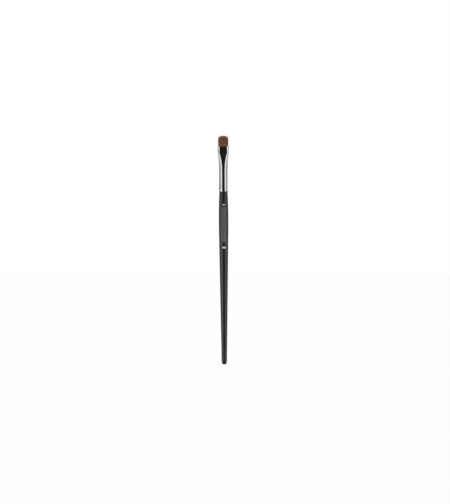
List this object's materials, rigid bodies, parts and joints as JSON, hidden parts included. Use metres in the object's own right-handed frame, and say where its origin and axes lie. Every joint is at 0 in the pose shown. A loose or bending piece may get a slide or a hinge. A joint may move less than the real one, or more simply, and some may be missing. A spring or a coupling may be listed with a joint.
{
  "type": "eyeshadow brush",
  "caption": "Flat eyeshadow brush with a slim black turned handle, a plated tube ferrule pressed from round to flat, and a short square brown tuft.",
  "frame": {"origin": "lowest point of the handle's rounded end, on the brush's centre line", "axes": "+Z along the brush towards the hair, X across the wide side of the flat tuft, Y through its thickness, with the front towards -Y"},
  "size_m": [0.0086, 0.0074, 0.175],
  "materials": {
    "handle_lacquer": "turned hardwood under satin black lacquer",
    "wood_adhesive": "set amber adhesive",
    "ferrule_plate": "bright nickel plate on a drawn tube",
    "brush_hair": "fine brown hair with amber tips",
    "thread": "waxed cotton thread",
    "setting_resin": "clear amber epoxy"
  },
  "bodies": {
    "root": {"handle": "handle_lacquer", "tenon_glue": "wood_adhesive", "ferrule": "ferrule_plate", "hair_tuft": "brush_hair", "binding_thread": "thread", "root_resin": "setting_resin"}
  },
  "joints": []
}
